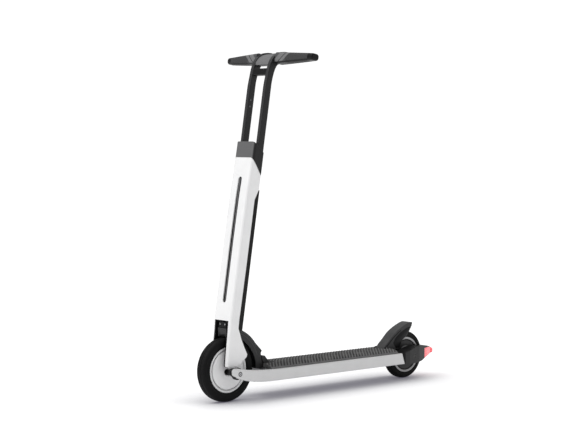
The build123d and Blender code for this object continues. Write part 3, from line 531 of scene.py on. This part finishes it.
CAD_FINISH = {
    "shell_white": ("front_shell",),
    "ring_white": ("front_rim",),
    "rail_white": ("rail_left", "rail_right", "crossmembers"),
    "disc_white": ("hub_covers",),
    "black_satin": ("fender_nose_cap", "stem_back_cover", "lock_discs", "axle_sleeves", "centre_housing",
                    "brake_paddle", "throttle_paddle", "paddle_mounts", "power_button", "hinge_lugs",
                    "fork_legs", "tube_crossbar", "charge_socket", "hub_carrier"),
    "black_gloss": ("bar_ends", "tail_housing"),
    "fender_black": ("front_fender", "fold_pedal"),
    "tube_grey": ("handle_tube_left", "handle_tube_right"),
    "collar_grey": ("stem_collar",),
    "fender_grey": ("brake_fender",),
    "grip_grey": ("grips",),
    "root_grey": ("bar_roots",),
    "panel_grey": ("centre_panel",),
    "motor_grey": ("motor_casing", "motor_stator", "motor_controller"),
    "mat_base": ("deck_mat",),
    "tyre_rubber": ("front_tyre", "rear_tyre"),
    "soft_rubber": ("charge_flap", "brake_pad", "stem_cable"),
    "steel": ("deck_screws", "hinge_pins", "rear_axle", "steering_cross", "front_bearing",
              "rear_bearings", "brake_spring", "bar_core", "tube_tenons", "hub_spacers"),
    "dark_steel": ("pivot_bolt_caps", "tube_screws", "front_axle"),
    "aluminium": ("deck_plate", "deck_pan", "battery_pack"),
    "stem_metal": ("stem_tube",),
    "red_lens": ("tail_lens",),
    "dark_glass": ("display_window",),
    "light_guide": ("light_guide",),
}


def finish_named(name):
    return bpy.data.materials[name]


# ---- modelling helpers -----------------------------------------------------------------------

def clear_selection():
    if bpy.context.mode != "OBJECT":
        bpy.ops.object.mode_set(mode="OBJECT")
    bpy.ops.object.select_all(action="DESELECT")


def begin(name, add, **settings):
    """A fresh primitive, alone in the selection, with its place in its mesh, open in edit mode."""
    clear_selection()
    add(**settings)
    piece = bpy.context.active_object
    piece.name = name
    piece.data.name = name
    bpy.ops.object.transform_apply(location=True, rotation=True, scale=True)
    bpy.ops.object.mode_set(mode="EDIT")
    bpy.ops.mesh.select_mode(type="VERT")
    bpy.ops.mesh.select_all(action="SELECT")
    return piece


def draw_line(name, points):
    """One corner, pulled from point to point."""
    piece = begin(name, bpy.ops.mesh.primitive_plane_add, size=0.01)
    bpy.ops.mesh.merge(type="CENTER")
    bpy.ops.transform.translate(value=points[0])
    for here, there in zip(points, points[1:]):
        bpy.ops.mesh.extrude_vertices_move(TRANSFORM_OT_translate={"value": Vector(there) - Vector(here)})
    bpy.ops.mesh.select_all(action="SELECT")
    return piece


def draw_outline(name, points):
    """A flat face with these corners."""
    piece = draw_line(name, points)
    bpy.ops.mesh.edge_face_add()
    return piece


def select_faces(piece, wanted):
    """In edit mode, selects only the faces whose centre and normal pass the test."""
    bpy.ops.mesh.select_mode(type="FACE")
    bpy.ops.mesh.select_all(action="DESELECT")
    shape = bmesh.from_edit_mesh(piece.data)
    for face in shape.faces:
        face.select_set(wanted(face.calc_center_median(), face.normal))
    bmesh.update_edit_mesh(piece.data)


def tidy_mesh():
    bpy.ops.mesh.select_all(action="SELECT")
    bpy.ops.mesh.remove_doubles(threshold=0.000002)
    bpy.ops.mesh.normals_make_consistent(inside=False)


def turned(name, profile, centre, steps=96):
    """A closed profile of (radius, across) in millimetres, spun about a cross axis through centre."""
    points = [centre + Vector((mm(radius), mm(across), 0)) for radius, across in profile]
    piece = draw_outline(name, points)
    bpy.ops.mesh.delete(type="ONLY_FACE")
    bpy.ops.mesh.select_all(action="SELECT")
    bpy.ops.mesh.spin(steps=steps, angle=2 * math.pi, center=centre, axis=CROSS)
    tidy_mesh()
    bpy.ops.object.mode_set(mode="OBJECT")
    return piece


def slab(name, points, thickness):
    """A face with these corners, pulled out by a vector."""
    piece = draw_outline(name, points)
    bpy.ops.mesh.extrude_region_move(TRANSFORM_OT_translate={"value": thickness})
    tidy_mesh()
    bpy.ops.object.mode_set(mode="OBJECT")
    return piece


def apply_modifier(piece, kind, **settings):
    clear_selection()
    piece.select_set(True)
    bpy.context.view_layer.objects.active = piece
    bpy.ops.object.modifier_add(type=kind)
    modifier = piece.modifiers[-1]
    for label, value in settings.items():
        setattr(modifier, label, value)
    bpy.ops.object.modifier_apply(modifier=modifier.name)


def soften(piece, width, segments=2, angle=30):
    apply_modifier(piece, "BEVEL", width=width, segments=segments, limit_method="ANGLE",
                   angle_limit=math.radians(angle), harden_normals=False)


def mirror_across(piece):
    """Adds the piece's mirror image across the scooter's middle plane."""
    apply_modifier(piece, "MIRROR", use_axis=(False, True, False), use_mirror_merge=False)


def join(name, pieces):
    clear_selection()
    for piece in pieces:
        piece.select_set(True)
    bpy.context.view_layer.objects.active = pieces[0]
    bpy.ops.object.join()
    whole = bpy.context.active_object
    whole.name = name
    whole.data.name = name
    return whole


def finish_piece(piece, body, finish, replaces=(), smooth=35):
    """Smooth shading, the material, the body it rides on and the CAD nodes it hides."""
    clear_selection()
    piece.select_set(True)
    bpy.context.view_layer.objects.active = piece
    bpy.ops.object.mode_set(mode="EDIT")
    tidy_mesh()
    bpy.ops.object.mode_set(mode="OBJECT")
    bpy.ops.object.shade_smooth_by_angle(angle=math.radians(smooth))
    piece.data.materials.clear()
    piece.data.materials.append(finish_named(finish))
    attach(piece, body)
    if replaces:
        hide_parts(*replaces)
    return piece


# ---- operators: finishes and pieces ----------------------------------------------------------

class PaintCadNodes(bpy.types.Operator):
    """Build the node groups and materials and give every CAD node its finish"""
    bl_idname = "scooter.paint_cad_nodes"
    bl_label = "Paint CAD nodes"

    def execute(self, context):
        for build in GROUP_BUILDERS.values():
            build()
        made = build_finishes()
        painted = set()
        for finish, nodes in CAD_FINISH.items():
            for node in nodes:
                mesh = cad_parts[node].data
                mesh.materials.clear()
                mesh.materials.append(made[finish])
                painted.add(node)
        missing = set(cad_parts) - painted
        if missing:
            raise RuntimeError(f"no finish for {sorted(missing)}")
        return {"FINISHED"}


def tyre_profile(radius, inner, width, shoulder, grooves, depth):
    """Half of a tyre's section from bead to crown, mirrored: (radius, across) in millimetres."""
    half = width / 2
    side = [(inner, half - 2.6), (inner + 1.2, half - 1.2), (inner + 3.5, half - 0.4), (inner + 6, half),
            (radius - shoulder, half)]
    for step in range(1, 7):
        angle = math.pi / 2 * step / 7
        side.append((radius - shoulder + shoulder * math.sin(angle) * 0.93,
                     half - shoulder + shoulder * math.cos(angle)))
    crown = half - shoulder
    def level(across):
        return radius - 0.07 * shoulder * (across / crown) ** 2
    for middle in sorted((g for g in grooves if g >= 0), reverse=True):
        groove = ((middle + 1.3, 0), (middle + 0.8, depth), (middle - 0.8, depth), (middle - 1.3, 0))
        for across, drop in groove:
            if across > 0:
                side.append((level(across) - drop, across))
    if 0 not in grooves:
        side.append((radius, 0.0))
    mirrored = [(r, -y) for r, y in reversed(side) if y > 0]
    return side + mirrored


class AddTyres(bpy.types.Operator):
    """Front and rear tyre with a grooved crown and a bead line on each wall"""
    bl_idname = "scooter.add_tyres"
    bl_label = "Tyres"

    def execute(self, context):
        depth = sizes().tread_groove * 1000
        front = turned("front_tyre_tread", tyre_profile(95, 68, 37, 11, (10.2, 3.6), depth), FRONT_HUB, 128)
        finish_piece(front, "front_wheel", "tyre_rubber", ["front_tyre"], 28)
        rear = turned("rear_tyre_tread", tyre_profile(76, 57, 29, 9, (7.4, 2.6), depth), REAR_HUB, 112)
        finish_piece(rear, "rear_wheel", "tyre_rubber", ["rear_tyre"], 28)
        return {"FINISHED"}


class AddWheelRing(bpy.types.Operator):
    """White ring of the front wheel with a rolled lip"""
    bl_idname = "scooter.add_wheel_ring"
    bl_label = "Front wheel ring"

    def execute(self, context):
        lip = 15 + sizes().rim_lip * 1000
        profile = [(52.1, 7), (60.5, 7), (60.5, 13.2), (61.2, 14.6), (62.6, lip), (65.6, lip), (67.2, 14.8),
                   (68, 13.4), (68, 2.0), (66.2, 0.6), (66.2, -0.6), (68, -2.0), (68, -13.4), (67.2, -14.8),
                   (65.6, -lip), (62.6, -lip), (61.2, -14.6), (60.5, -13.2), (60.5, -7), (52.1, -7)]
        ring = turned("front_rim_ring", profile, FRONT_HUB, 128)
        finish_piece(ring, "front_wheel", "ring_white", ["front_rim"], 30)
        return {"FINISHED"}


NOTCH_FRONT = deck_point(-178, 0, 0).x
NOTCH_REAR = deck_point(-619, 0, 0).x
NOTCH_HALF = 0.0262
ABOVE_MAT = 0.115
MAT_HALF = 0.0595
RIB_SLANT = 0.92
RIB_BOW = 0.006


def clear_notch(piece, limit, direction):
    """Takes the ribs away where the mat is notched round the pedal or the foot brake."""
    edges = (((limit, 0, 0), (1, 0, 0)), ((0, NOTCH_HALF, 0), CROSS), ((0, -NOTCH_HALF, 0), CROSS))
    for place, normal in edges:
        bpy.ops.mesh.select_all(action="SELECT")
        bpy.ops.mesh.bisect(plane_co=place, plane_no=normal)
    select_faces(piece, lambda centre, normal: (
        (centre.x - limit) * direction > 0 and abs(centre.y) < NOTCH_HALF))
    bpy.ops.mesh.delete(type="FACE")


def rib_line(across):
    """How far forward a rib lies at a place across the mat: slanted and a little bowed."""
    return across * RIB_SLANT + RIB_BOW * (1 - (across / 0.06) ** 2)


class AddMatRibs(bpy.types.Operator):
    """Slanted, slightly bowed ribs laid over the crowned grip mat"""
    bl_idname = "scooter.add_mat_ribs"
    bl_label = "Mat ribs"

    def execute(self, context):
        size = sizes()
        half_width, half_rib = MAT_HALF, size.rib_width / 2
        front, rear = deck_point(-128, 0, 0).x, deck_point(-648, 0, 0).x
        count = int((front - rear + 2 * half_width) / size.rib_pitch) + 2
        steps = 10
        edge = []
        for step in range(steps + 1):
            across = -half_width + 2 * half_width * step / steps
            slant = rib_line(across) + front + half_width + size.rib_pitch
            edge.append(Vector((slant + half_rib, across, ABOVE_MAT)))
        rib = draw_line("mat_ribs", edge)
        bpy.ops.mesh.extrude_region_move(TRANSFORM_OT_translate={"value": (-size.rib_width, 0, 0)})
        bpy.ops.object.mode_set(mode="OBJECT")
        apply_modifier(rib, "ARRAY", count=count, use_relative_offset=False, use_constant_offset=True,
                       constant_offset_displace=(-size.rib_pitch, 0, 0))
        bpy.ops.object.mode_set(mode="EDIT")
        for limit, outward in ((front, 1), (rear, -1)):
            bpy.ops.mesh.select_all(action="SELECT")
            bpy.ops.mesh.bisect(plane_co=(limit, 0, 0), plane_no=(outward, 0, 0), clear_outer=True)
        clear_notch(rib, NOTCH_FRONT, 1)
        clear_notch(rib, NOTCH_REAR, -1)
        bpy.ops.mesh.select_all(action="SELECT")
        bpy.ops.mesh.normals_make_consistent(inside=False)
        bpy.ops.object.mode_set(mode="OBJECT")
        apply_modifier(rib, "SHRINKWRAP", target=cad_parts["deck_mat"], wrap_method="PROJECT",
                       use_project_z=True, use_negative_direction=True, use_positive_direction=False,
                       offset=0.0)
        apply_modifier(rib, "SOLIDIFY", thickness=size.rib_height + 0.0004, offset=0.0)
        soften(rib, 0.0003, 1, 60)
        finish_piece(rib, "deck", "mat_rib", smooth=40)
        return {"FINISHED"}


class AddArmCaps(bpy.types.Operator):
    """Black caps over the front ends of the deck's two arms"""
    bl_idname = "scooter.add_arm_caps"
    bl_label = "Arm caps"

    def execute(self, context):
        outline = [(13, 107.0), (16.2, 107.6), (26.4, 106.6), (32, 101.4), (32, 89.6), (24.6, 82.9),
                   (16, 79.4), (14.4, 80.2), (23.6, 84), (31.1, 90.2), (31.1, 100.9), (26, 106.1),
                   (16, 107.1), (13, 106.4)]
        cap = slab("arm_caps", [deck_point(x, 59.4, z) for x, z in outline], (0, mm(11.4), 0))
        soften(cap, 0.0002, 1)
        inner = [(12, 105.6), (16.2, 107.2), (26.4, 106.2), (31.6, 101), (31.6, 90), (24.4, 83.3),
                 (12, 78.6)]
        face = slab("arm_face", [deck_point(x, 59.2, z) for x, z in inner], (0, mm(0.7), 0))
        soften(face, 0.0002, 1)
        whole = join("arm_caps", [cap, face])
        mirror_across(whole)
        finish_piece(whole, "deck", "black_satin")
        return {"FINISHED"}


class AddFenderRibs(bpy.types.Operator):
    """Two stiffening ribs round each cheek of the front fender"""
    bl_idname = "scooter.add_fender_ribs"
    bl_label = "Front fender ribs"

    def execute(self, context):
        ribs = []
        for middle, low, high in ((112.4, 22, 72), (118.6, 10, 60)):
            section = [(middle - 1.1, 18.8), (middle - 0.8, 19.4), (middle + 0.8, 19.4), (middle + 1.1, 18.8)]
            start, end = math.radians(low), math.radians(high)
            points = [FRONT_HUB + Vector((-mm(r) * math.sin(start), mm(y), mm(r) * math.cos(start)))
                      for r, y in section]
            rib = draw_outline("fender_ribs", points)
            bpy.ops.mesh.spin(steps=36, angle=end - start, center=FRONT_HUB, axis=CROSS)
            tidy_mesh()
            bpy.ops.object.mode_set(mode="OBJECT")
            ribs.append(rib)
        whole = join("fender_ribs", ribs)
        mirror_across(whole)
        finish_piece(whole, "deck", "rib_grey")
        return {"FINISHED"}


class AddHubRings(bpy.types.Operator):
    """Bright ring, and a groove painted black as shade, on both faces of the rear hub motor"""
    bl_idname = "scooter.add_hub_rings"
    bl_label = "Rear hub rings"

    def execute(self, context):
        rim = [(49.6, 13.6), (49.6, 14.7), (50.4, 15.1), (55.6, 15.1), (56.4, 14.6), (56.4, 13.6)]
        ring = turned("hub_rings", rim, REAR_HUB, 96)
        mirror_across(ring)
        finish_piece(ring, "rear_wheel", "hub_ring_grey", (), 30)
        # Painted shade: a flat black ring, barely below the bright ring, stands for the shade in the groove.
        groove = turned("hub_groove_shade", [(45.8, 13.2), (45.8, 14.3), (49.4, 14.3), (49.4, 13.2)], REAR_HUB, 96)
        mirror_across(groove)
        finish_piece(groove, "rear_wheel", "black_satin", (), 30)
        middle = [(17, 13.4), (17, 14.6), (18.4, 15.2), (27, 15.2), (29, 14.2), (29, 13.4)]
        boss = turned("hub_bosses", middle, REAR_HUB, 64)
        mirror_across(boss)
        finish_piece(boss, "rear_wheel", "motor_grey", (), 30)
        return {"FINISHED"}


class AddBrakePaintedShade(bpy.types.Operator):
    """Painted shade on both sides of the foot brake's fender: black skirts darken its sides and black strips
    stand for its shaded slots
    """
    bl_idname = "scooter.add_brake_trim"
    bl_label = "Foot brake painted shade"

    def execute(self, context):
        # Painted shade: a thin black sheet over the rear of the fender's side, where it lies in shade.
        side_shade_sheet = slab("brake_side_shade", [deck_point(x, 18.4, z) for x, z in (
            (-682, 101), (-672, 118), (-682, 134), (-704, 150), (-732, 162), (-748, 165), (-742, 152),
            (-731, 138), (-711, 126), (-700, 101))], (0, mm(0.9), 0))
        soften(side_shade_sheet, 0.0004, 2)
        # Painted shade: a thin black strip stands for the shade inside the slot.
        slot = slab("brake_slot_shade", [deck_point(x, 18.4, z) for x, z in (
            (-641, 110.5), (-650, 118.2), (-668, 134), (-688, 148), (-706, 157.5), (-707, 155), (-690, 144.6),
            (-671, 130.6), (-653, 115), (-644, 107.6))], (0, mm(0.5), 0))
        soften(slot, 0.00015, 1)
        whole = join("brake_trim", [side_shade_sheet, slot])
        mirror_across(whole)
        finish_piece(whole, "brake_fender", "black_satin", (), 30)
        return {"FINISHED"}


class AddTailPlugs(bpy.types.Operator):
    """Black plugs that close the axle bores of the tail housing"""
    bl_idname = "scooter.add_tail_plugs"
    bl_label = "Tail plugs"

    def execute(self, context):
        low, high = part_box("rear_axle")
        radius = (high.z - low.z) / 2 * 1000 - 0.15
        profile = [(0.01, 45), (0.01, 55.9), (radius - 0.6, 55.8), (radius, 55.2), (radius, 45)]
        plug = turned("tail_plugs", profile, REAR_HUB, 40)
        mirror_across(plug)
        finish_piece(plug, "deck", "black_gloss", (), 30)
        return {"FINISHED"}


class AddBoltFaces(bpy.types.Operator):
    """Bright heads with a hex recess in the middle of both pivot bolts"""
    bl_idname = "scooter.add_bolt_faces"
    bl_label = "Pivot bolt heads"

    def execute(self, context):
        low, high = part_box("pivot_bolt_caps")
        centre = (low + high) / 2
        out = (high.y - low.y) / 2 * 1000
        head = turned("bolt_faces", [(1.9, out - 1.2), (1.9, out - 0.1), (2.3, out + 0.25), (3.7, out + 0.25),
                                     (4.3, out - 0.1), (4.3, out - 1.2)], centre, 48)
        mirror_across(head)
        finish_piece(head, "deck", "steel", (), 30)
        return {"FINISHED"}


# ---- stage -----------------------------------------------------------------------------------

CAMERA_PLACE = (3.2802, 3.6393, 0.7667)
CAMERA_AZIMUTH = 41.0
CAMERA_DIP = 2.9
CAMERA_LENS = 97.8
SENSOR = 36.0


def soft_box(name, place, target, size, power, colour=(1, 1, 1)):
    light = bpy.data.lights.new(name, "AREA")
    light.shape = "RECTANGLE"
    light.size, light.size_y = size
    light.energy = power
    light.color = colour
    lamp = bpy.data.objects.new(name, light)
    lamp.location = place
    lamp.rotation_euler = (Vector(target) - Vector(place)).to_track_quat("-Z", "Y").to_euler()
    bpy.context.scene.collection.objects.link(lamp)


class BuildStage(bpy.types.Operator):
    """Pale floor with a painted shadow under the scooter, soft studio light and the camera"""
    bl_idname = "scooter.build_stage"
    bl_label = "Stage"

    def execute(self, context):
        scene = context.scene
        floor = begin("floor", bpy.ops.mesh.primitive_grid_add, x_subdivisions=8, y_subdivisions=8, size=60)
        bpy.ops.object.mode_set(mode="OBJECT")
        finish = Finish("floor_paper")
        tree = finish.tree
        mottle = noise_node(tree, finish.where, 3.0)
        finish.colour(mixed(tree, mottle, (0.30, 0.30, 0.305), (0.31, 0.31, 0.315)))
        finish.roughness(mottle, 0.85, 0.95)
        # Painted shadow: ambient occlusion dims the floor's emission to bluish grey under and round the
        # scooter, standing in for its cast shadow.
        shadow_occlusion = tree.nodes.new("ShaderNodeAmbientOcclusion")
        shadow_occlusion.samples = 8
        shadow_occlusion.inputs["Distance"].default_value = 0.34
        share = math_node(tree, "POWER", shadow_occlusion.outputs["AO"], 1.9)
        glow = mixed(tree, share, (0.10, 0.095, 0.125), (1, 1, 1))
        tree.links.new(glow, finish.shader.inputs["Emission Color"])
        finish.fixed(Specular_IOR_Level=0.0, Emission_Strength=0.86)
        floor.data.materials.append(finish.material)

        world = bpy.data.worlds.new("studio")
        scene.world = world
        world.use_nodes = True
        nodes, links = world.node_tree.nodes, world.node_tree.links
        nodes.clear()
        path = nodes.new("ShaderNodeLightPath")
        seen = nodes.new("ShaderNodeBackground")
        seen.inputs["Color"].default_value = (1, 1, 1, 1)
        seen.inputs["Strength"].default_value = 1.05
        around = nodes.new("ShaderNodeBackground")
        around.inputs["Color"].default_value = (1, 1, 1, 1)
        place = nodes.new("ShaderNodeTexCoord")
        parts = nodes.new("ShaderNodeSeparateXYZ")
        sky = nodes.new("ShaderNodeMapRange")
        sky.inputs["From Min"].default_value = -0.05
        sky.inputs["From Max"].default_value = 0.9
        sky.inputs["To Min"].default_value = 0.24
        sky.inputs["To Max"].default_value = 0.8
        links.new(place.outputs["Generated"], parts.inputs[0])
        links.new(parts.outputs["Z"], sky.inputs["Value"])
        links.new(sky.outputs[0], around.inputs["Strength"])
        chosen = nodes.new("ShaderNodeMixShader")
        out = nodes.new("ShaderNodeOutputWorld")
        links.new(path.outputs["Is Camera Ray"], chosen.inputs["Fac"])
        links.new(around.outputs[0], chosen.inputs[1])
        links.new(seen.outputs[0], chosen.inputs[2])
        links.new(chosen.outputs[0], out.inputs["Surface"])

        sun = bpy.data.lights.new("key", "SUN")
        sun.energy = 1.15
        sun.angle = math.radians(28)
        key = bpy.data.objects.new("key", sun)
        key.rotation_euler = Vector((-0.75, 0.25, -1.0)).to_track_quat("-Z", "Y").to_euler()
        scene.collection.objects.link(key)
        soft_box("side_box", (2.6, -0.6, 1.6), (0.1, 0, 0.5), (1.2, 2.0), 9)
        soft_box("rear_box", (-2.2, 2.0, 1.4), (-0.1, 0, 0.3), (1.4, 1.6), 4)

        data = bpy.data.cameras.new("camera")
        data.lens = CAMERA_LENS
        data.sensor_width = SENSOR
        data.sensor_fit = "HORIZONTAL"
        data.clip_start, data.clip_end = 0.1, 200
        camera = bpy.data.objects.new("camera", data)
        turn, dip = math.radians(CAMERA_AZIMUTH), math.radians(CAMERA_DIP)
        forward = Vector((-math.sin(turn) * math.cos(dip), -math.cos(turn) * math.cos(dip), -math.sin(dip)))
        camera.location = CAMERA_PLACE
        camera.rotation_mode = "QUATERNION"
        camera.rotation_quaternion = forward.to_track_quat("-Z", "Y")
        scene.collection.objects.link(camera)
        scene.camera = camera
        scene.view_settings.view_transform = "Standard"
        scene.view_settings.look = "None"
        return {"FINISHED"}


# ---- panel, registration and the run ----------------------------------------------------------

STEPS = (PaintCadNodes, AddTyres, AddWheelRing, AddMatRibs, AddArmCaps, AddFenderRibs,
         AddHubRings, AddBrakePaintedShade, AddTailPlugs, AddBoltFaces, BuildStage)


class ScooterPanel(bpy.types.Panel):
    """Lists the scooter's steps in the sidebar"""
    bl_idname = "VIEW3D_PT_scooter"
    bl_label = "Kick Scooter"
    bl_space_type = "VIEW_3D"
    bl_region_type = "UI"
    bl_category = "Scooter"

    def draw(self, context):
        for group in (colours(), sizes()):
            for label in group.bl_rna.properties.keys():
                if label not in ("rna_type", "name"):
                    self.layout.prop(group, label)
        for step in STEPS:
            self.layout.operator(step.bl_idname)


CLASSES = (ScooterColours, ScooterSizes, *STEPS, ScooterPanel)


def register():
    for item in CLASSES:
        bpy.utils.register_class(item)
    bpy.types.Scene.scooter_colours = bpy.props.PointerProperty(type=ScooterColours)
    bpy.types.Scene.scooter_sizes = bpy.props.PointerProperty(type=ScooterSizes)


def unregister():
    del bpy.types.Scene.scooter_sizes
    del bpy.types.Scene.scooter_colours
    for item in reversed(CLASSES):
        bpy.utils.unregister_class(item)


def run_operator(step):
    family, name = step.bl_idname.split(".")
    result = getattr(getattr(bpy.ops, family), name)()
    if result != {"FINISHED"}:
        raise RuntimeError(f"{step.bl_label} did not finish")


def main():
    register()
    for step in STEPS:
        run_operator(step)
    bpy.context.view_layer.update()


if __name__ == "__main__":
    main()
